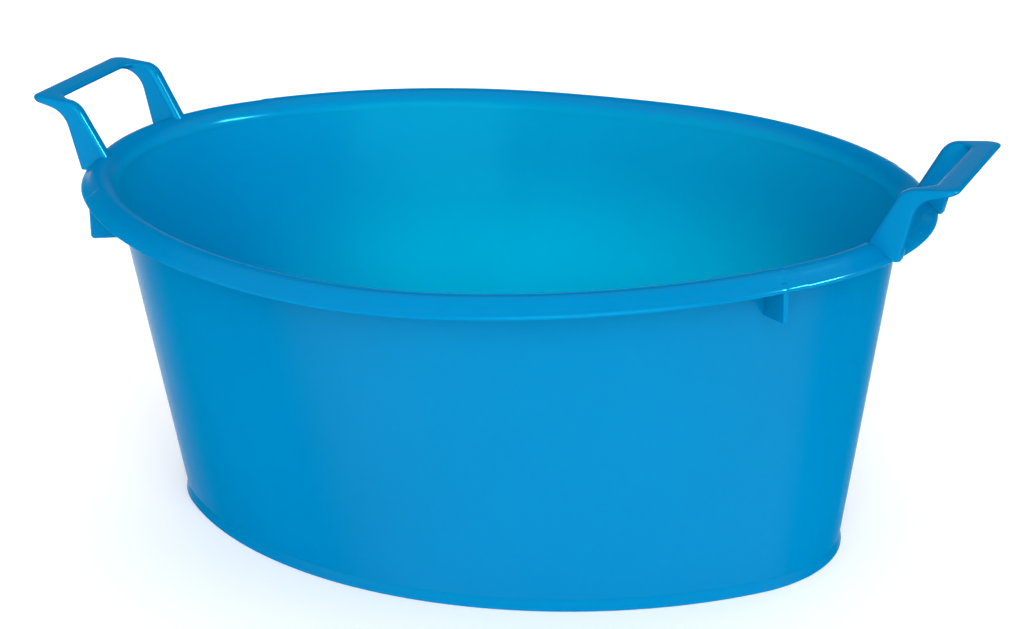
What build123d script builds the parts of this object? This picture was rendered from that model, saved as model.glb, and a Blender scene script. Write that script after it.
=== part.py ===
from build123d import *

import math
import os

# Oval moulded feed tub with two raised end handles.
# Millimetres, +Z up, +X along the tub's length, origin on the ground under its middle.

# ---- driving dimensions ------------------------------------------------------------------
SHELL = 3.0                # thickness of the moulded wall everywhere

BASE_HALF_LENGTH = 254.0   # outside of the wall where it meets the foot
BASE_HALF_WIDTH = 170.3
BASE_END_RADIUS = 108.2

MOUTH_HALF_LENGTH = 289.7  # outside of the wall where it reaches MOUTH_HEIGHT
MOUTH_HALF_WIDTH = 228.4
MOUTH_END_RADIUS = 168.3
MOUTH_HEIGHT = 243.0

RIM_HALF_LENGTH = 315.0    # outside of the turned-down rim
RIM_HALF_WIDTH = 252.8
RIM_END_RADIUS = 190.4

FOOT_HEIGHT = 9.0          # slightly flared band that the tub stands on
FOOT_FLARE = 0.8           # how far it spreads towards the ground
FOOT_EDGE_RADIUS = 1.5
FLOOR_UNDERSIDE = 6.0      # the floor is carried clear of the ground

RIM_TOP = 252.5            # heights at the middle of the long sides
RIM_SEAM = 243.4           # where the rim is carried by the wall and carries its skirt
SKIRT_BOTTOM = 239.3
RIM_INNER_ROUND = 8.8      # the crest rolls over from the mouth
RIM_OUTER_SLOPE = 8.6      # and falls away to its skirt at 45 degrees

SHEER_SLOPE = 0.0275       # the rim climbs towards both ends at this slope
SHEER_FLAT = 60.0          # half length of the arc that blends the two slopes

RIB_ANGLE = 44.0           # direction of a stacking rib, square to the rim's end arc
RIB_OFFSET = 6.0           # how far a rib stands to the middle's side of that direction
RIB_THICKNESS = 3.5
RIB_SETBACK = 0.5          # from the skirt's outer face to a rib's outer edge
RIB_FOOT = 222.5           # lowest point of a rib, against the wall
RIB_TOE = 225.0            # lowest point of its outer edge

HANDLE_HALF_WIDTH = 62.2   # outside faces of a handle's two legs
LEG_DEPTH = 11.2           # leg size along Y
LEG_FOOT_HEIGHT = 248.0
LEG_FOOT_REACH = 311.0     # outer corner of the foot, in X
LEG_INNER_BASE = 282.0     # inner edge of the leg at foot height, inside the rim
LEG_SHOULDER = (310.9, 298.3)      # where the leg's inner edge would meet its arm's top, in X and Z
LEG_SHOULDER_RADIUS = 14.5
LEG_ARMPIT = (321.5, 290.9)        # where its outer edge would meet the arm's underside
LEG_ARMPIT_RADIUS = 19.5
HANDLE_TOP = 301.5
HANDLE_REACH = 349.2       # outermost point of the grip
NOSE_UNDERSIDE = 298.0     # lower corner of the handle's outer edge
NOSE_RADIUS = 1.6
GRIP_INNER_FACE = 331.8

ABOVE_RIM = 264.0          # a level that clears the crest everywhere
SPACE = 400.0              # half size of the blocks used to trim solids


# ---- outlines ----------------------------------------------------------------------------
def oval_wire(half_length, half_width, end_radius, height):
    """Four tangent arcs: two round ends joined by two long, flat side arcs."""
    end_centre = half_length - end_radius
    side_radius = (end_centre**2 + half_width**2 - end_radius**2) / (2 * (half_width - end_radius))
    side_centre = side_radius - half_width
    turn = math.atan2(side_centre, end_centre)
    join_x = end_centre + end_radius * math.cos(turn)
    join_y = end_radius * math.sin(turn)
    plane = Plane.XY.offset(height)
    arcs = []
    corners = [(join_x, -join_y), (join_x, join_y), (-join_x, join_y), (-join_x, -join_y)]
    crowns = [(half_length, 0), (0, half_width), (-half_length, 0), (0, -half_width)]
    for index, crown in enumerate(crowns):
        arc = ThreePointArc(corners[index], crown, corners[(index + 1) % 4])
        arcs.append(plane * arc)
    return Wire(arcs)


def oval_prism(inset, bottom, top):
    """The rim's outline, drawn in by an inset, as an upright block."""
    sizes = (RIM_HALF_LENGTH - inset, RIM_HALF_WIDTH - inset, RIM_END_RADIUS - inset)
    return extrude(Face(oval_wire(*sizes, bottom)), top - bottom, dir=(0, 0, 1))


def base_oval(inset, height):
    """The base's outline, drawn in by an inset."""
    sizes = (BASE_HALF_LENGTH - inset, BASE_HALF_WIDTH - inset, BASE_END_RADIUS - inset)
    return oval_wire(*sizes, height)


def base_prism(inset, bottom, top):
    """The base's outline, drawn in by an inset, as an upright block."""
    return extrude(Face(base_oval(inset, bottom)), top - bottom, dir=(0, 0, 1))


def flared_block(inset):
    """The tub's body as a solid block, flaring from the foot to above the rim, drawn in by an inset."""
    share = (ABOVE_RIM - FOOT_HEIGHT) / (MOUTH_HEIGHT - FOOT_HEIGHT)
    base = (BASE_HALF_LENGTH, BASE_HALF_WIDTH, BASE_END_RADIUS)
    mouth = (MOUTH_HALF_LENGTH, MOUTH_HALF_WIDTH, MOUTH_END_RADIUS)
    lower = [size - inset for size in base]
    upper = [low + (high - low) * share - inset for low, high in zip(base, mouth)]
    outlines = [oval_wire(*lower, FOOT_HEIGHT), oval_wire(*upper, ABOVE_RIM)]
    return Solid.make_loft(outlines, ruled=True)


def below_sheer(height):
    """Everything below the rim line whose height at mid-length is given."""
    rise = SHEER_FLAT * math.tan(math.atan(SHEER_SLOPE) / 2)
    end_rise = rise + SHEER_SLOPE * (SPACE - SHEER_FLAT)
    line = [
        Line((-SPACE, height + end_rise), (-SHEER_FLAT, height + rise)),
        ThreePointArc((-SHEER_FLAT, height + rise), (0, height), (SHEER_FLAT, height + rise)),
        Line((SHEER_FLAT, height + rise), (SPACE, height + end_rise)),
        Line((SPACE, height + end_rise), (SPACE, -SHELL)),
        Line((SPACE, -SHELL), (-SPACE, -SHELL)),
        Line((-SPACE, -SHELL), (-SPACE, height + end_rise)),
    ]
    profile = Plane.XZ * Face(Wire(line))
    return extrude(profile, SPACE, dir=(0, 1, 0), both=True)


# ---- tub ---------------------------------------------------------------------------------
def floor_panel():
    return base_prism(SHELL, FLOOR_UNDERSIDE, FOOT_HEIGHT)


def foot_ring():
    block = Solid.make_loft([base_oval(-FOOT_FLARE, 0), base_oval(0, FOOT_HEIGHT)], ruled=True)
    block = fillet(block.edges().group_by(Axis.Z)[0], FOOT_EDGE_RADIUS)
    return block - base_prism(SHELL, 0, FOOT_HEIGHT)


def tub_wall():
    return (flared_block(0) - flared_block(SHELL)) & below_sheer(RIM_SEAM)


# ---- rim ---------------------------------------------------------------------------------
def crest_outline(block, top, inside):
    """The crest's long edges, along the tub's mouth or along its outer side."""
    inner_zone = oval_prism((RIM_HALF_WIDTH - MOUTH_HALF_WIDTH) / 2, 0, ABOVE_RIM)
    found = []
    for edge in block.edges():
        middle = edge.position_at(0.5)
        across_the_crest = edge.geom_type == GeomType.LINE
        if middle.Z > top - 0.5 and not across_the_crest:
            if inner_zone.is_inside(middle) == inside:
                found.append(edge)
    return found


def rim_block(inset):
    """The turned-down rim as a full block, rolled over inside and sloping outside, drawn in by an inset."""
    top = RIM_TOP - inset
    slope = RIM_OUTER_SLOPE - (2 - math.sqrt(2)) * inset
    block = oval_prism(inset, SKIRT_BOTTOM, ABOVE_RIM) - flared_block(SHELL - inset)
    block = (block & below_sheer(top)) - below_sheer(SKIRT_BOTTOM)
    block = fillet(crest_outline(block, top, True), RIM_INNER_ROUND - inset)
    return chamfer(crest_outline(block, top, False), slope)


def rim_crest(rim, channel):
    return (rim - below_sheer(RIM_SEAM)) - channel


def rim_skirt():
    band = oval_prism(0, 0, ABOVE_RIM) - oval_prism(SHELL, 0, ABOVE_RIM)
    return (band & below_sheer(RIM_SEAM)) - below_sheer(SKIRT_BOTTOM)


# ---- stacking ribs -----------------------------------------------------------------------
def stacking_rib(channel, side_x, side_y):
    """A thin upright rib between the wall and the skirt, reaching below the rim."""
    centre_x = RIM_HALF_LENGTH - RIM_END_RADIUS
    wall_reach = MOUTH_END_RADIUS
    slope = (RIB_TOE - RIB_FOOT) / (RIM_END_RADIUS - wall_reach)
    near = wall_reach - 4 * SHELL
    far = RIM_END_RADIUS + 4 * SHELL
    outline = [
        (near, RIB_FOOT + slope * (near - wall_reach)),
        (far, RIB_FOOT + slope * (far - wall_reach)),
        (far, RIM_TOP + 4 * SHELL),
        (near, RIM_TOP + 4 * SHELL),
    ]
    profile = Plane.XZ * Face(Wire.make_polygon([Vector(*point) for point in outline]))
    blade = extrude(profile, RIB_THICKNESS / 2, dir=(0, 1, 0), both=True)
    heading = math.degrees(math.atan2(side_y * math.sin(math.radians(RIB_ANGLE)),
                                      side_x * math.cos(math.radians(RIB_ANGLE))))
    blade = Pos(0, side_x * side_y * RIB_OFFSET, 0) * blade
    blade = Pos(side_x * centre_x, 0, 0) * Rot(0, 0, heading) * blade
    below_skirt = (oval_prism(RIB_SETBACK, 0, ABOVE_RIM) - flared_block(0)) & below_sheer(SKIRT_BOTTOM)
    return (blade & below_skirt) + (blade & channel)


# ---- handles -----------------------------------------------------------------------------
def side_view_block(points, radii, depth):
    """A side view in X and Z, its corners rounded, as a block from Y = 0 to Y = depth."""
    outline = FilletPolyline(*points, radius=radii, close=True)
    return extrude(Plane.XZ * Face(Wire(outline.edges())), depth, dir=(0, 1, 0))


def handle_leg(rim):
    """The right rear leg: broad at the rim, sweeping outwards into a thin, nearly level arm."""
    points = [
        (LEG_INNER_BASE, LEG_FOOT_HEIGHT),
        LEG_SHOULDER,
        (HANDLE_REACH, HANDLE_TOP),
        (HANDLE_REACH, NOSE_UNDERSIDE),
        LEG_ARMPIT,
        (LEG_FOOT_REACH, LEG_FOOT_HEIGHT),
    ]
    radii = [0, LEG_SHOULDER_RADIUS, NOSE_RADIUS, NOSE_RADIUS, LEG_ARMPIT_RADIUS, 0]
    block = side_view_block(points, radii, LEG_DEPTH)
    return Pos(0, HANDLE_HALF_WIDTH - LEG_DEPTH, 0) * block - rim


def on_arm(start, end, reach):
    """Height at a reach on the straight line between two points of the arm's side view."""
    share = (reach - start[0]) / (end[0] - start[0])
    return start[1] + share * (end[1] - start[1])


def handle_grip():
    """The right grip bar, as deep as the two arms that it joins."""
    nose_top = (HANDLE_REACH, HANDLE_TOP)
    nose_underside = (HANDLE_REACH, NOSE_UNDERSIDE)
    points = [
        (GRIP_INNER_FACE, on_arm(LEG_ARMPIT, nose_underside, GRIP_INNER_FACE)),
        (GRIP_INNER_FACE, on_arm(LEG_SHOULDER, nose_top, GRIP_INNER_FACE)),
        nose_top,
        nose_underside,
    ]
    length = 2 * (HANDLE_HALF_WIDTH - LEG_DEPTH)
    return Pos(0, -length / 2, 0) * side_view_block(points, [NOSE_RADIUS] * 4, length)


# ---- assembly ----------------------------------------------------------------------------
def sub_parts():
    """Each node's name with its solid."""
    rim = rim_block(0)
    channel = rim_block(SHELL)
    leg = handle_leg(rim)
    grip = handle_grip()
    nodes = {
        "floor_panel": floor_panel(),
        "foot_ring": foot_ring(),
        "tub_wall": tub_wall(),
        "rim_crest": rim_crest(rim, channel),
        "rim_skirt": rim_skirt(),
        "right_grip": grip,
        "left_grip": mirror(grip, about=Plane.YZ),
    }
    for end, side_x in (("left", -1), ("right", 1)):
        for side, side_y in (("front", -1), ("rear", 1)):
            nodes[f"{side}_{end}_rib"] = stacking_rib(channel, side_x, side_y)
            placed = leg if side_x > 0 else mirror(leg, about=Plane.YZ)
            nodes[f"{end}_{side}_leg"] = placed if side_y > 0 else mirror(placed, about=Plane.XZ)
    return nodes


if __name__ == "__main__":
    os.makedirs("parts", exist_ok=True)
    for name, solid in sub_parts().items():
        export_step(solid, f"parts/{name}.step")
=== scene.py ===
import math

import bmesh
import bpy
import numpy as np
from mathutils import Matrix, Vector


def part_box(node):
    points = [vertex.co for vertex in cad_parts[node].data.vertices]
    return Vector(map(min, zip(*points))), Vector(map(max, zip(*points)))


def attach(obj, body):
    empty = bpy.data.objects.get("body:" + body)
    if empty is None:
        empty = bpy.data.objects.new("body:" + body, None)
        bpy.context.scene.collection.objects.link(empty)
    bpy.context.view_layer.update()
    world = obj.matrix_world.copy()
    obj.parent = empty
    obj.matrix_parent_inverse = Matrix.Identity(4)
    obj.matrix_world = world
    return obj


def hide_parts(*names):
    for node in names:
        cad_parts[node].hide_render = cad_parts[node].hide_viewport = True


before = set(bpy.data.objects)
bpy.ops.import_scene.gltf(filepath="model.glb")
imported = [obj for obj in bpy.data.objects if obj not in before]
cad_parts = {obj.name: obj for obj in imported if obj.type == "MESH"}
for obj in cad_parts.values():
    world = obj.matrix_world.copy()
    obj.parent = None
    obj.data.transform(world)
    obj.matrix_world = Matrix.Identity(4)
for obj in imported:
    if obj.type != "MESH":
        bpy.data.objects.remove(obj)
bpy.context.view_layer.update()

# An oval moulded feed tub with two raised end handles. Lengths are metres, like the frame's.
# X runs along the tub, -Y is its front. Heights on the rim are those at the tub's middle, where the
# rim is lowest; it climbs from there towards both ends.
MM = 0.001
SHELL = 3.0 * MM                # thickness of the wall, the floor and the rim

# ---- sizes -----------------------------------------------------------------------------------
_, foot_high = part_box("foot_ring")
floor_low, floor_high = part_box("floor_panel")
skirt_low, skirt_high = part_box("rim_skirt")
grip_low, grip_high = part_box("right_grip")
_, leg_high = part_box("right_rear_leg")
rib_low, rib_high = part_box("rear_right_rib")

# An oval's sizes are its half length, its half width and the radius of its end arcs.
BASE = np.array([floor_high[0] + SHELL, floor_high[1] + SHELL, 108.2 * MM])
MOUTH = np.array([289.7 * MM, 228.4 * MM, 168.3 * MM])
MOUTH_LEVEL = 243.0 * MM        # the height where the wall's outside has the sizes in MOUTH
RIM = np.array([skirt_high[0], skirt_high[1], 190.4 * MM])

FOOT_TOP = foot_high[2]
FOOT_FLARE = 0.8 * MM           # how far the foot spreads towards the ground
FOOT_EDGE_RADIUS = 1.5 * MM
FLOOR_UNDERSIDE = floor_low[2]
FLOOR_CORNER_RADIUS = 9.0 * MM  # round corner between the floor and the wall

SKIRT_BOTTOM = skirt_low[2]
RIM_TOP = SKIRT_BOTTOM + 13.2 * MM
RIM_OVERHANG = 24.8 * MM        # from the wall's outside to the skirt's
CREST_OUT = 9.3 * MM            # the crest's highest line, out from the wall's outside
INNER_ROUND = CREST_OUT + SHELL
OUTER_ROUND = 10.5 * MM
CREST_END = 46                  # degrees: how steeply the crest falls where the skirt takes over
WALL_TOP = RIM_TOP - INNER_ROUND

SHEER_SLOPE = 0.0275            # the rim climbs towards both ends at this slope
SHEER_FLAT = 60.0 * MM          # half length of the arc that blends the two slopes
SHEER_RADIUS = SHEER_FLAT / math.sin(math.atan(SHEER_SLOPE))
SHEER_RISE = SHEER_FLAT * math.tan(math.atan(SHEER_SLOPE) / 2)

END_STEP = 0.45 * MM            # the crest is this much lower round the handles,
END_HALF_WIDTH = 124.0 * MM     # as far as this from the tub's middle line
END_BLEND = 0.8 * MM            # half width of the step
SINK_DEPTH = 0.2 * MM           # it is also drawn in a little over each rib:
SINK_FLAT = 0.5 * MM            # fully as far as this from the rib's middle plane,
SINK_END = 2.2 * MM             # and not at all beyond this

RIB_ANGLE = math.radians(44.0)  # a rib's direction about the centre of the rim's end arc
RIB_OFFSET = 6.0 * MM           # how far it stands to the middle's side of that direction
RIB_THICKNESS = 3.5 * MM
RIB_EDGE_ROUND = 0.5 * MM
RIB_CORNER = 2.2 * MM
RIB_TOE = rib_low[2] + 2.5 * MM  # height of the rib's lower edge at its outer end
RIB_SETBACK = 0.5 * MM          # from the skirt's outside to the rib's outer edge
RIB_BITE = 1.0 * MM             # how far the rib runs into the wall
RIB_BEHIND_SKIRT = 2.2 * MM     # the rib's upper part stands this far in, behind the skirt,
RIB_INTO_RIM = 6.0 * MM         # and reaches this far above the skirt's lower edge


# ---- ovals and the rim line --------------------------------------------------------------------
def smoothstep(value, start, end):
    share = np.clip((value - start) / (end - start), 0.0, 1.0)
    return share * share * (3 - 2 * share)


def oval(sizes, normals):
    """Points of four-arc ovals whose outward normals point along the given angles.

    sizes is (..., 3) and may differ from point to point.
    """
    half_length, half_width, end_radius = np.moveaxis(np.asarray(sizes), -1, 0)
    end_centre = half_length - end_radius
    side_radius = (end_centre**2 + half_width**2 - end_radius**2) / (2 * (half_width - end_radius))
    side_centre = side_radius - half_width
    across = np.abs(np.cos(normals))
    along = np.abs(np.sin(normals))
    on_end = np.arctan2(along, across) <= np.arctan2(side_centre, end_centre)
    x = np.where(on_end, end_centre + end_radius * across, side_radius * across)
    y = np.where(on_end, end_radius * along, side_radius * along - side_centre)
    return np.sign(np.cos(normals)) * x, np.sign(np.sin(normals)) * y


def sheer(x):
    """How far the rim has climbed at x."""
    reach = np.abs(x)
    middle = reach**2 / (2 * SHEER_RADIUS)
    return np.where(reach < SHEER_FLAT, middle, SHEER_RISE + SHEER_SLOPE * (reach - SHEER_FLAT))


def wall_sizes(level):
    """The outside oval of the flaring wall at a height."""
    share = (np.asarray(level) - FOOT_TOP) / (MOUTH_LEVEL - FOOT_TOP)
    return BASE + (MOUTH - BASE) * share[..., None]


def past_rib(x, y):
    """Distance from the middle plane of the nearest rib, positive towards the long sides."""
    return (np.abs(y) * math.cos(RIB_ANGLE) - (np.abs(x) - RIM[0] + RIM[2]) * math.sin(RIB_ANGLE)
            - RIB_OFFSET)


def rim_marks(x, y):
    """How far the crest lies lower round the handles, and how far it is sunk over each rib."""
    past_end = np.where(np.abs(x) > RIM[0] / 2, np.abs(y) - END_HALF_WIDTH, END_HALF_WIDTH)
    lower = END_STEP * (1 - smoothstep(past_end, -END_BLEND, END_BLEND))
    sunk = SINK_DEPTH * (1 - smoothstep(np.abs(past_rib(x, y)), SINK_FLAT, SINK_END))
    return lower + sunk


def hoop(level, out, normals):
    """Points round the tub at a nominal height, a distance out from the wall's outside surface."""
    follows_rim = np.clip((level - FOOT_TOP) / (WALL_TOP - FOOT_TOP), 0.0, 1.0)
    rough_x, _ = oval(wall_sizes(np.full_like(normals, level)), normals)
    sizes = wall_sizes(level + sheer(rough_x) * follows_rim)
    if out > 0:
        sizes = sizes + (RIM - sizes) * (out / RIM_OVERHANG)
    else:
        sizes = sizes + out
    x, y = oval(sizes, normals)
    height = level + sheer(x) * follows_rim
    if out > 0:
        fully_marked = 4 * MM
        height = height - rim_marks(x, y) * min(1.0, out / fully_marked)
    return np.stack([x, y, height], axis=-1)


def stations():
    """Outward-normal angles round the tub, closer together where the rim has its marks."""
    regular = np.linspace(0, 2 * math.pi, 480, endpoint=False)
    close = np.radians(np.linspace(36.0, 45.5, 58))
    marks = np.concatenate([close, math.pi - close, math.pi + close, 2 * math.pi - close])
    return np.unique(np.concatenate([regular, marks]).round(6))


NORMALS = stations()
COUNT = len(NORMALS)


# ---- meshes --------------------------------------------------------------------------------
def new_piece(name, vertices, faces, sharp_angle=35.0):
    """A mesh object, shaded smooth apart from edges that turn by more than an angle."""
    mesh = bpy.data.meshes.new(name)
    mesh.from_pydata([tuple(v) for v in vertices], [], faces)
    work = bmesh.new()
    work.from_mesh(mesh)
    bmesh.ops.remove_doubles(work, verts=work.verts, dist=1e-6)
    bmesh.ops.recalc_face_normals(work, faces=work.faces)
    for face in work.faces:
        face.smooth = True
    limit = math.radians(sharp_angle)
    for edge in work.edges:
        edge.smooth = len(edge.link_faces) != 2 or edge.calc_face_angle() < limit
    work.to_mesh(mesh)
    work.free()
    piece = bpy.data.objects.new(name, mesh)
    bpy.context.collection.objects.link(piece)
    return piece


def grid_faces(rows, columns, wrap_rows, wrap_columns):
    """Quads over a grid of points numbered row by row."""
    faces = []
    for row in range(rows if wrap_rows else rows - 1):
        for column in range(columns if wrap_columns else columns - 1):
            right = (column + 1) % columns
            below = (row + 1) % rows
            faces.append((row * columns + column, row * columns + right,
                          below * columns + right, below * columns + column))
    return faces


def ring_piece(name, hoops):
    """A closed ring through hoops that go round its section."""
    return new_piece(name, np.stack(hoops).reshape(-1, 3), grid_faces(len(hoops), COUNT, True, True))


def tub_hoops(section):
    """Hoops for a section given as (height, distance out from the wall)."""
    return [hoop(level, out, NORMALS) for level, out in section]


def arc(centre, radius, start, end, steps):
    """Points on an arc, as (height, distance out), between two angles above the horizontal."""
    turns = np.radians(np.linspace(start, end, steps + 1))
    return [(centre[0] + radius * math.sin(t), centre[1] + radius * math.cos(t)) for t in turns]


def smooth_line(points, steps):
    """A Catmull-Rom line through points."""
    table = np.array([points[0]] + list(points) + [points[-1]])
    line = []
    for index in range(len(points) - 1):
        a, b, c, d = table[index:index + 4]
        for t in np.linspace(0, 1, steps, endpoint=False):
            line.append(0.5 * (2 * b + (c - a) * t + (2 * a - 5 * b + 4 * c - d) * t**2
                               + (3 * b - a - 3 * c + d) * t**3))
    return [tuple(p) for p in line] + [tuple(points[-1])]


# ---- material ------------------------------------------------------------------------------
class Graph:
    """A shader's nodes, made and joined one at a time."""

    def __init__(self, tree):
        self.tree = tree

    def node(self, kind, inputs=(), **settings):
        """Add a node; inputs maps socket names or numbers to values or other nodes' outputs."""
        made = self.tree.nodes.new(kind)
        for name, value in settings.items():
            setattr(made, name, value)
        for socket, value in dict(inputs).items():
            self.feed(made.inputs[socket], value)
        return made

    def feed(self, socket, value):
        if isinstance(value, bpy.types.NodeSocket):
            self.tree.links.new(value, socket)
        else:
            socket.default_value = value

    def maths(self, operation, *values):
        return self.node("ShaderNodeMath", enumerate(values), operation=operation).outputs[0]

    def vector_maths(self, operation, inputs):
        return self.node("ShaderNodeVectorMath", inputs, operation=operation).outputs

    def split(self, vector):
        return self.node("ShaderNodeSeparateXYZ", {0: vector}).outputs

    def fade(self, value, start, end, low=0.0, high=1.0, kind="SMOOTHSTEP"):
        """From low at start to high at end."""
        inputs = {0: value, 1: start, 2: end, 3: low, 4: high}
        return self.node("ShaderNodeMapRange", inputs, interpolation_type=kind).outputs[0]

    def noise(self, place, scale, detail):
        inputs = {"Vector": place, "Scale": scale, "Detail": detail}
        return self.node("ShaderNodeTexNoise", inputs).outputs[0]

    def blend(self, share, first, second):
        return self.node("ShaderNodeMix", {0: share, 6: first, 7: second}, data_type="RGBA").outputs[2]


OUTER_BLUE = (0.0, 0.18, 0.40, 1)
HANDLE_BLUE = (0.0, 0.165, 0.385, 1)
WORN_BLUE = (0.0, 0.26, 0.52, 1)
# Painted light and shade: the inside is painted paler, most of all low down in the middle, with its own
# blue towards the ends, for the daylight that fills the bowl and soaks through the thin wall.
INNER_PAINTED_LIGHT_BLUE = (0.0, 0.26, 0.465, 1)
INNER_LOW_PAINTED_LIGHT_BLUE = (0.0, 0.42, 0.61, 1)
INNER_END_PAINTED_SHADE_BLUE = (0.0, 0.245, 0.50, 1)


def below_the_crest(graph, place):
    """1 on the tub's body, 0 on the handles, following the rim as it climbs."""
    along, _, height = graph.split(place)
    climb = graph.maths("MULTIPLY", graph.maths("ABSOLUTE", along), SHEER_SLOPE)
    return graph.fade(graph.maths("SUBTRACT", height, climb), RIM_TOP - 3 * MM, RIM_TOP - 12 * MM)


def inside_the_tub(graph, place, normal, upward):
    """1 on the inner faces of the wall and on the floor, 0 on faces that look outwards."""
    flat = graph.vector_maths("MULTIPLY", {0: place, 1: (1, 1, 0)})[0]
    outwards = graph.vector_maths("NORMALIZE", {0: flat})[0]
    facing = graph.vector_maths("DOT_PRODUCT", {0: normal, 1: outwards})[1]
    near_the_floor = graph.fade(graph.split(place)[2], 30 * MM, 15 * MM)
    floor = graph.maths("MULTIPLY", upward, near_the_floor)
    return graph.maths("MAXIMUM", graph.fade(facing, -0.1, -0.7), floor)


def plastic_blue_with_painted_light(graph, place, body, inside, cloud):
    """The moulding's own colour, a little uneven, with light and shade painted on the inside: paler there,
    most of all low down in the middle, and a different blue towards the ends.
    """
    along, _, height = graph.split(place)
    # Painted light and shade: the inside is paler than the outside, most of all low down in the middle,
    # and a different blue towards the ends.
    painted_light_inner_middle = graph.blend(graph.fade(height, 215 * MM, 120 * MM), INNER_PAINTED_LIGHT_BLUE, INNER_LOW_PAINTED_LIGHT_BLUE)
    towards_end = graph.fade(graph.maths("ABSOLUTE", along), 130 * MM, 280 * MM)
    inner = graph.blend(towards_end, painted_light_inner_middle, INNER_END_PAINTED_SHADE_BLUE)
    outer = graph.blend(body, HANDLE_BLUE, OUTER_BLUE)
    shade = graph.fade(cloud, 0.3, 0.7, 0.97, 1.03)
    return graph.vector_maths("SCALE", {0: graph.blend(inside, outer, inner), "Scale": shade})[0]


def scuffs(graph, place):
    """Faint rubbed streaks that run round the tub, more of them low down."""
    stretched = graph.vector_maths("MULTIPLY", {0: place, 1: (9, 9, 160)})[0]
    streaks = graph.fade(graph.noise(stretched, 1.0, 4.0), 0.68, 0.78)
    low_down = graph.fade(graph.split(place)[2], 60 * MM, 5 * MM)
    return graph.maths("MULTIPLY", streaks, graph.maths("MULTIPLY_ADD", low_down, 0.25, 0.05))


def reflection_level(graph, place, body, inside, upward):
    """Clear reflections on faces that look at the viewer, faint ones on those seen edge on."""
    slant = graph.node("ShaderNodeLayerWeight", {"Blend": 0.5}).outputs["Facing"]
    facing_gloss = graph.maths("MULTIPLY", graph.fade(slant, 0.12, 0.42, 0.36, 0.0),
                               graph.fade(inside, 0.0, 1.0, 1.0, 0.4))
    handle_top = graph.maths("MULTIPLY", upward, graph.maths("SUBTRACT", 1.0, body))
    handle_gloss = graph.maths("MULTIPLY", handle_top, graph.fade(slant, 0.55, 1.0, 0.0, 0.008))
    right_end = graph.fade(graph.split(place)[0], 100 * MM, 250 * MM, 1.0, 0.3)
    body_gloss = graph.maths("MULTIPLY", graph.fade(slant, 0.66, 1.0, 0.0, 0.008),
                             graph.maths("MULTIPLY", body, right_end))
    return graph.maths("ADD", facing_gloss, graph.maths("ADD", handle_gloss, body_gloss))


def skin_relief(graph, place, grain):
    """The moulding's slight waviness, with its fine grain on top."""
    waves = graph.noise(place, 14.0, 2.0)
    relief = graph.node("ShaderNodeBump", {"Height": waves, "Strength": 0.12, "Distance": 1.0 * MM})
    skin = {"Height": grain, "Strength": 0.1, "Distance": 0.05 * MM, "Normal": relief.outputs[0]}
    return graph.node("ShaderNodeBump", skin).outputs[0]


def moulded_plastic():
    material = bpy.data.materials.new("tub_plastic")
    material.use_nodes = True
    graph = Graph(material.node_tree)
    inputs = graph.tree.nodes["Principled BSDF"].inputs

    place = graph.node("ShaderNodeTexCoord").outputs["Object"]
    normal = graph.node("ShaderNodeNewGeometry").outputs["Normal"]
    upward = graph.fade(graph.split(normal)[2], 0.1, 0.6)
    body = below_the_crest(graph, place)
    inside = graph.maths("MULTIPLY", inside_the_tub(graph, place, normal, upward), body)
    cloud = graph.noise(place, 5.0, 3.0)
    grain = graph.noise(place, 260.0, 2.0)
    wear = scuffs(graph, place)

    # Base colour, with light and shade painted on the inside of the tub.
    colour = plastic_blue_with_painted_light(graph, place, body, inside, cloud)
    graph.feed(inputs["Base Color"], graph.blend(wear, colour, WORN_BLUE))

    roughness = graph.maths("MULTIPLY_ADD", grain, 0.04, graph.fade(cloud, 0.3, 0.7, 0.13, 0.17))
    graph.feed(inputs["Roughness"], graph.maths("MULTIPLY_ADD", wear, 0.2, roughness))
    graph.feed(inputs["Specular IOR Level"], reflection_level(graph, place, body, inside, upward))
    inputs["Specular Tint"].default_value = (0.03, 0.85, 1.0, 1)

    graph.feed(inputs["Subsurface Weight"], graph.maths("MULTIPLY", body, 0.35))
    inputs["Subsurface Radius"].default_value = (0.1, 0.7, 1.0)
    inputs["Subsurface Scale"].default_value = 6 * MM

    graph.feed(inputs["Normal"], skin_relief(graph, place, grain))
    return material


plastic = moulded_plastic()


def finish_piece(piece, *nodes):
    piece.data.materials.append(plastic)
    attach(piece, "root")
    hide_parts(*nodes)


# ---- tub ---------------------------------------------------------------------------------
def foot_band():
    """The foot, on the base's own oval, upright inside and rounded at its outer lower edge."""
    round_edge = arc((FOOT_EDGE_RADIUS, FOOT_FLARE - FOOT_EDGE_RADIUS), FOOT_EDGE_RADIUS, 0, -90, 6)
    section = [(FOOT_TOP, -SHELL), (FOOT_TOP, 0.0)] + round_edge + [(0.0, -SHELL)]
    hoops = []
    for level, out in section:
        x, y = oval(BASE + out + np.zeros((COUNT, 3)), NORMALS)
        hoops.append(np.stack([x, y, np.full(COUNT, level)], axis=-1))
    finish_piece(ring_piece("foot_band", hoops), "foot_ring")


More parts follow.
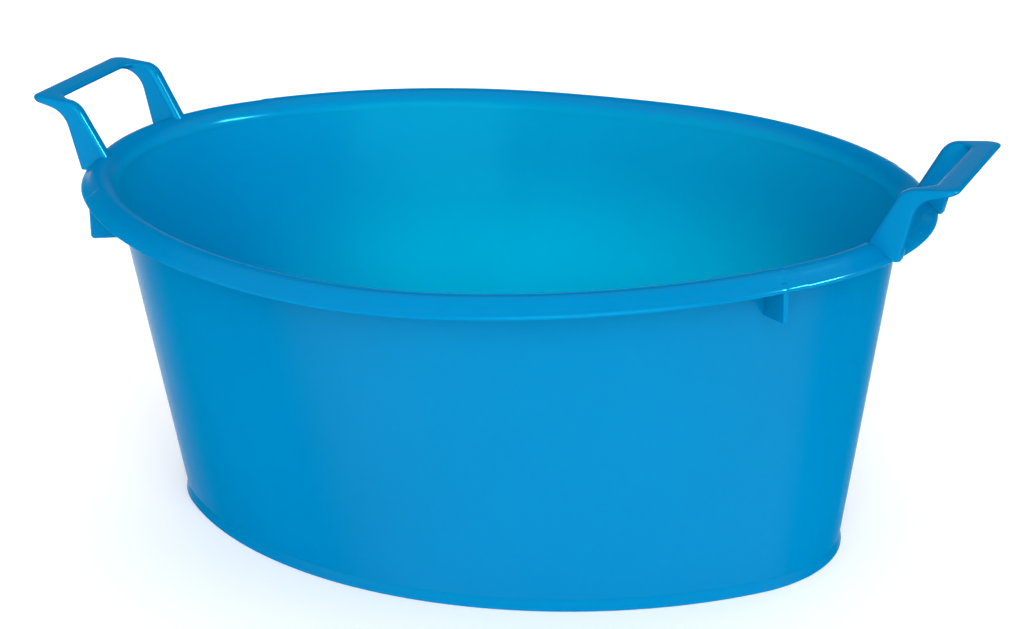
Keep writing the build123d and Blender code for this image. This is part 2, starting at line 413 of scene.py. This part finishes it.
def floor_piece():
    """The floor, with a round corner where it meets the wall."""
    radius = FLOOR_CORNER_RADIUS
    corner = [(FOOT_TOP + radius - radius * math.sin(t), -SHELL - radius + radius * math.cos(t))
              for t in np.radians(np.linspace(0, 90, 9))]
    section = [(FLOOR_UNDERSIDE, -SHELL), (FOOT_TOP, -SHELL)] + corner
    hoops = []
    for level, out in section:
        x, y = oval(wall_sizes(np.full(COUNT, max(level, FOOT_TOP))) + out, NORMALS)
        hoops.append(np.stack([x, y, np.full(COUNT, level)], axis=-1))
    rows = len(section)
    points = list(np.stack(hoops).reshape(-1, 3))
    faces = grid_faces(rows, COUNT, False, True)
    for row, level in ((0, FLOOR_UNDERSIDE), (rows - 1, FOOT_TOP)):
        middle = len(points)
        points.append((0, 0, level))
        for column in range(COUNT):
            faces.append((row * COUNT + column, row * COUNT + (column + 1) % COUNT, middle))
    finish_piece(new_piece("floor", points, faces), "floor_panel")


def wall_piece():
    outside = [(level, 0.0) for level in np.linspace(FOOT_TOP, WALL_TOP, 30)]
    inside = [(level, -SHELL) for level, _ in outside[::-1]]
    finish_piece(ring_piece("wall", tub_hoops(outside + inside)), "tub_wall")


def crest_skin(inset):
    """The rounded crest, from the top of the wall's inside to where the skirt takes over."""
    skin = arc((WALL_TOP, CREST_OUT), INNER_ROUND - inset, 180, 90, 16)
    skin += arc((RIM_TOP - OUTER_ROUND, CREST_OUT), OUTER_ROUND - inset, 90, CREST_END, 10)[1:]
    return skin


def crest_piece():
    section = crest_skin(0) + crest_skin(SHELL)[::-1]
    finish_piece(ring_piece("rim_crest_skin", tub_hoops(section)), "rim_crest")


def skirt_skin():
    """The turned-down edge's outside, from the crest's slope down to its beaded lower edge."""
    start = crest_skin(0)[-1]
    face = (SKIRT_BOTTOM + 3.2 * MM, RIM_OVERHANG - 0.9 * MM)
    hollow = 0.15 * MM
    middle = ((start[0] + face[0]) / 2 - hollow, (start[1] + face[1]) / 2 - hollow)
    bead = (SKIRT_BOTTOM + 1.0 * MM, RIM_OVERHANG)
    under = (SKIRT_BOTTOM, RIM_OVERHANG - 1.1 * MM)
    return smooth_line([start, middle, face, bead, under], 6)


def skirt_piece():
    outside = skirt_skin()
    inside = [(level + 0.35 * MM, out - 2.4 * MM) for level, out in outside]
    inside[-1] = (SKIRT_BOTTOM, outside[-1][1] - 1.2 * MM)
    finish_piece(ring_piece("rim_skirt_skin", tub_hoops(outside + inside[::-1])), "rim_skirt")


# ---- handles -----------------------------------------------------------------------------
# A handle is one band: up a leg, round a corner and along the grip to its middle, and the same
# mirrored. Its side view lies between an upper and a lower line, each with one bend.
HANDLE_HALF_WIDTH = leg_high[1]
LEG_INSIDE = grip_high[1]
GRIP_INNER_FACE = grip_low[0] - 0.6 * MM
GRIP_UNDERSIDE = grip_low[2]
LEG_LEAN = 0.037                # the legs lean towards each other at their feet
OUTER_CORNER = 8.7 * MM         # plan radii where a leg turns into the grip
INNER_CORNER = 7.5 * MM
LEG_STEPS = 36
CORNER_STEPS = 20
GRIP_STEPS = 12
CROWN_WIDTH = 3.3 * MM          # how much wider the inner top edge's round is on the grip

# Radii of the band's edges: outer top, inner top, inner bottom, outer bottom.
EDGE_RADII = (3.6 * MM, 5.2 * MM, 1.2 * MM, 2.7 * MM)


def bent_line(start, corner, end, radius):
    """Points along two straight runs joined by an arc, from (x, z) points in millimetres."""
    foot_steps, arc_steps, reach_steps = 12, 14, 10
    start, corner, end = (np.array(p) * MM for p in (start, corner, end))
    radius = radius * MM
    first = (corner - start) / np.linalg.norm(corner - start)
    second = (end - corner) / np.linalg.norm(end - corner)
    turn = math.acos(float(first @ second))
    cut = radius * math.tan(turn / 2)
    arc_start = corner - first * cut
    arc_end = corner + second * cut
    side = np.array([first[1], -first[0]])
    if side @ second < 0:
        side = -side
    centre = arc_start + side * radius
    line = [start + (arc_start - start) * t for t in np.linspace(0, 1, foot_steps, endpoint=False)]
    for t in np.linspace(0, turn, arc_steps, endpoint=False):
        line.append(centre - side * radius * math.cos(t) + first * radius * math.sin(t))
    line += [arc_end + (end - arc_end) * t for t in np.linspace(0, 1, reach_steps + 1)]
    return np.array(line)


def line_lengths(points):
    """Distance along a polyline at each of its points."""
    return np.concatenate([[0], np.cumsum(np.linalg.norm(np.diff(points, axis=0), axis=1))])


upper_line = bent_line((281.9, 248.0), (310.9, 298.3), (349.0, 301.5), 14.5)
lower_line = bent_line((310.9, 248.0), (321.5, 290.9), (349.0, 298.0), 19.5)
middle_line = (upper_line + lower_line) / 2
run_lengths = line_lengths(middle_line)


def on_handle(run, across, depth):
    """A point of the handle: run along its side view, across in Y, depth 0 on top to 1 underneath."""
    upper = np.array([np.interp(run, run_lengths, upper_line[:, k]) for k in (0, 1)])
    lower = np.array([np.interp(run, run_lengths, lower_line[:, k]) for k in (0, 1)])
    x, z = upper + (lower - upper) * depth
    drawn_in = LEG_LEAN * max(0.0, GRIP_UNDERSIDE - z)
    return (x, across - math.copysign(drawn_in, across), z)


def thickness(run):
    return np.interp(run, run_lengths, np.linalg.norm(upper_line - lower_line, axis=1))


def corner_path(points, steps):
    """Points evenly along a polyline."""
    points = np.array(points)
    lengths = line_lengths(points)
    places = np.linspace(0, lengths[-1], steps + 1)
    return np.stack([np.interp(places, lengths, points[:, k]) for k in (0, 1)], axis=-1)


def quarter(centre, radius):
    """A quarter turn from across to along, in (run, across)."""
    turns = np.linspace(0, math.pi / 2, 16)
    return [(centre[0] + radius * math.sin(t), centre[1] + radius * math.cos(t)) for t in turns]


def handle_stations():
    """Outer and inner edge of the handle's band, from one foot to the middle of the grip."""
    run_end = run_lengths[-1]
    run_grip = np.interp(GRIP_INNER_FACE, middle_line[:, 0], run_lengths)
    leg_end = run_grip - INNER_CORNER
    leg_runs = np.linspace(0, leg_end, LEG_STEPS, endpoint=False)
    outer = [(run, HANDLE_HALF_WIDTH) for run in leg_runs]
    inner = [(run, LEG_INSIDE) for run in leg_runs]
    outer_corner = [(leg_end, HANDLE_HALF_WIDTH)]
    outer_corner += quarter((run_end - OUTER_CORNER, HANDLE_HALF_WIDTH - OUTER_CORNER), OUTER_CORNER)
    outer_corner += [(run_end, LEG_INSIDE - INNER_CORNER)]
    inner_corner = quarter((run_grip - INNER_CORNER, LEG_INSIDE - INNER_CORNER), INNER_CORNER)
    outer += list(corner_path(outer_corner, CORNER_STEPS))
    inner += list(corner_path(inner_corner, CORNER_STEPS))
    leg_stations = len(outer)
    for across in np.linspace(LEG_INSIDE - INNER_CORNER, 0, GRIP_STEPS)[1:]:
        outer.append((run_end, across))
        inner.append((run_grip, across))
    return np.array(outer), np.array(inner), leg_stations


def band_loop(outer, inner, crown):
    """The rounded section of the band between its outer and inner edge.

    Each corner is a quarter of an oval; crown, from 0 to 1, widens the inner top one.
    """
    width = np.linalg.norm(outer - inner)
    height = thickness(outer[0])
    corners = ((0, 0), (1, 0), (1, 1), (0, 1))
    loop = []
    for (side, depth), radius, start in zip(corners, EDGE_RADII, (180, 270, 0, 90)):
        crowned = crown * side * (1 - depth)
        b_radius = min(radius, (0.49 + 0.15 * crowned) * height)
        a_radius = min(radius + CROWN_WIDTH * crowned, 0.49 * width)
        for turn in np.radians(np.linspace(start, start + 90, 9)):
            a = a_radius * (1 + math.cos(turn)) if side == 0 else width - a_radius * (1 - math.cos(turn))
            b = b_radius * (1 + math.sin(turn)) if depth == 0 else height - b_radius * (1 - math.sin(turn))
            plan = outer + (inner - outer) * (a / width)
            loop.append(on_handle(plan[0], plan[1], b / height))
    return loop


def band_piece(name, loops, mirror_x, mirror_y):
    """A closed piece through loops of points, with its two ends capped."""
    points = np.array(loops).reshape(-1, 3) * (mirror_x, mirror_y, 1)
    count = len(loops[0])
    faces = grid_faces(len(loops), count, False, True)
    faces.append(tuple(range(count)))
    faces.append(tuple(range((len(loops) - 1) * count, len(loops) * count)))
    return new_piece(name, points, faces, 50.0)


def handles():
    outer, inner, leg_stations = handle_stations()
    crowns = smoothstep(np.arange(len(outer)), leg_stations - 10, leg_stations + 1)
    loops = [band_loop(o, i, c) for o, i, c in zip(outer, inner, crowns)]
    leg = loops[:leg_stations]
    half = loops[leg_stations - 1:]
    other_half = [[(x, -y, z) for x, y, z in loop] for loop in half[:-1]][::-1]
    for end, side_x in (("left", -1), ("right", 1)):
        finish_piece(band_piece(f"{end}_handle_grip", half + other_half, side_x, 1), f"{end}_grip")
        for side, side_y in (("front", -1), ("rear", 1)):
            piece = band_piece(f"{end}_handle_{side}_leg", leg, side_x, side_y)
            finish_piece(piece, f"{end}_{side}_leg")


# ---- stacking ribs -------------------------------------------------------------------------
def rib_reach(level, out):
    """How far a surface of the tub lies from the rim's end centre, along the rib's own direction."""
    ring = hoop(level, out, np.linspace(0, math.pi / 2, 400))
    x, y = ring[:, 0] - (RIM[0] - RIM[2]), ring[:, 1]
    along = x * math.cos(RIB_ANGLE) + y * math.sin(RIB_ANGLE)
    aside = y * math.cos(RIB_ANGLE) - x * math.sin(RIB_ANGLE)
    return float(np.interp(RIB_OFFSET, aside, along))


def rib_outline(inset):
    """The rib's side view, as (reach, height), its free edges drawn in."""
    skirt_edge = SKIRT_BOTTOM + float(sheer(rib_high[0] - 0.06 * RIM[2]))
    outside = rib_reach(SKIRT_BOTTOM, RIM_OVERHANG) - RIB_SETBACK - inset
    wall_low = rib_reach(rib_low[2], 0) - RIB_BITE
    wall_high = rib_reach(WALL_TOP, 0) - RIB_BITE
    top = skirt_edge + 0.4 * MM
    outline = [(wall_low, rib_low[2] + inset)]
    for t in np.radians(np.linspace(-80, 0, 7)):
        outline.append((outside - RIB_CORNER + RIB_CORNER * math.cos(t),
                        RIB_TOE + inset + RIB_CORNER + RIB_CORNER * math.sin(t)))
    outline += [(outside, top), (outside - RIB_BEHIND_SKIRT, top),
                (outside - RIB_BEHIND_SKIRT, skirt_edge + RIB_INTO_RIM),
                (wall_high, skirt_edge + RIB_INTO_RIM)]
    return outline


def rib_loops():
    """Outlines from one side of a rib to the other, with rounded edges between."""
    turns = np.radians(np.linspace(0, 90, 5))
    layers = [(RIB_THICKNESS / 2 - RIB_EDGE_ROUND * (1 - math.sin(t)), RIB_EDGE_ROUND * (1 - math.cos(t)))
              for t in turns]
    layers = [(-side, inset) for side, inset in layers[::-1]] + layers
    loops = []
    for side, inset in layers:
        aside = RIB_OFFSET + side
        loops.append([(RIM[0] - RIM[2] + reach * math.cos(RIB_ANGLE) - aside * math.sin(RIB_ANGLE),
                       reach * math.sin(RIB_ANGLE) + aside * math.cos(RIB_ANGLE), height)
                      for reach, height in rib_outline(inset)])
    return loops


def ribs():
    loops = rib_loops()
    for end, side_x in (("left", -1), ("right", 1)):
        for side, side_y in (("front", -1), ("rear", 1)):
            piece = band_piece(f"{side}_{end}_stacking_rib", loops, side_x, side_y)
            finish_piece(piece, f"{side}_{end}_rib")


foot_band()
floor_piece()
wall_piece()
crest_piece()
skirt_piece()
handles()
ribs()


# ---- studio --------------------------------------------------------------------------------
LIT_POINT = Vector((0, 0, 0.25))
STRIP_DISTANCE = 3.0

VIEW_AZIMUTH = 23.068           # degrees, from the front towards the right
VIEW_ELEVATION = 19.959
VIEW_ROLL = -0.992
VIEW_DISTANCE = 2.0555
VIEW_TARGET = Vector((0.0079, 0.0, 0.15318))


def studio_floor():
    mesh = bpy.data.meshes.new("studio_floor")
    half = 20.0
    mesh.from_pydata([(-half, -half, 0), (half, -half, 0), (half, half, 0), (-half, half, 0)], [],
                     [(0, 1, 2, 3)])
    ground = bpy.data.objects.new("studio_floor", mesh)
    bpy.context.collection.objects.link(ground)
    paint = bpy.data.materials.new("studio_floor")
    paint.use_nodes = True
    inputs = paint.node_tree.nodes["Principled BSDF"].inputs
    inputs["Base Color"].default_value = (0.93, 0.93, 0.93, 1)
    inputs["Roughness"].default_value = 0.9
    inputs["Emission Color"].default_value = (1, 1, 1, 1)
    inputs["Emission Strength"].default_value = 0.16
    mesh.materials.append(paint)


def heading(azimuth, elevation):
    """A direction; azimuth is measured from the front towards the right. Angles in degrees."""
    turn, tilt = math.radians(azimuth), math.radians(elevation)
    return Vector((math.sin(turn) * math.cos(tilt), -math.cos(turn) * math.cos(tilt), math.sin(tilt)))


def hang_lamp(lamp, towards, place):
    """Put a lamp at a place, shining back from a direction."""
    holder = bpy.data.objects.new(lamp.name, lamp)
    holder.location = place
    holder.rotation_euler = towards.to_track_quat("Z", "Y").to_euler()
    bpy.context.collection.objects.link(holder)
    return holder


def soft_sun(name, azimuth, elevation, width, strength):
    lamp = bpy.data.lights.new(name, "SUN")
    lamp.angle = math.radians(width)
    lamp.energy = strength
    hang_lamp(lamp, heading(azimuth, elevation), Vector((0, 0, 0)))


def strip_light(name, azimuth, elevation, size, power):
    """A narrow panel, seen only in reflections: it draws the thin lights on rounded edges."""
    lamp = bpy.data.lights.new(name, "AREA")
    lamp.shape = "RECTANGLE"
    lamp.size, lamp.size_y = size
    lamp.energy = power
    towards = heading(azimuth, elevation)
    holder = hang_lamp(lamp, towards, LIT_POINT + towards * STRIP_DISTANCE)
    holder.visible_diffuse = False


def sky():
    """Even white light from all round, dimmer past the tub's two ends."""
    world = bpy.data.worlds.new("studio")
    world.use_nodes = True
    graph = Graph(world.node_tree)
    background = graph.tree.nodes["Background"].inputs
    background["Color"].default_value = (1, 1, 1, 1)
    direction = graph.node("ShaderNodeTexCoord").outputs["Generated"]
    sideways = graph.maths("ABSOLUTE", graph.split(direction)[0])
    graph.feed(background["Strength"], graph.fade(sideways, 0.3, 0.95, 1.05, 0.45, kind="LINEAR"))
    bpy.context.scene.world = world


def camera():
    data = bpy.data.cameras.new("camera")
    data.lens = 99.4
    data.sensor_width = 36.0
    eye = bpy.data.objects.new("camera", data)
    azimuth, elevation, roll = np.radians((VIEW_AZIMUTH, VIEW_ELEVATION, VIEW_ROLL)).tolist()
    back = Vector((math.sin(azimuth) * math.cos(elevation), -math.cos(azimuth) * math.cos(elevation),
                   math.sin(elevation)))
    level_right = Vector((math.cos(azimuth), math.sin(azimuth), 0))
    level_up = back.cross(level_right)
    right = level_right * math.cos(roll) + level_up * math.sin(roll)
    up = level_up * math.cos(roll) - level_right * math.sin(roll)
    turn = Matrix((right, up, back)).transposed().to_4x4()
    eye.matrix_world = Matrix.Translation(VIEW_TARGET + back * VIEW_DISTANCE) @ turn
    bpy.context.collection.objects.link(eye)
    bpy.context.scene.camera = eye


studio_floor()
sky()
soft_sun("key", azimuth=30.0, elevation=24.0, width=50.0, strength=2.3)
strip_light("strip", azimuth=91.0, elevation=31.0, size=(0.9, 0.25), power=120.0)
camera()
bpy.context.scene.view_settings.view_transform = "Standard"
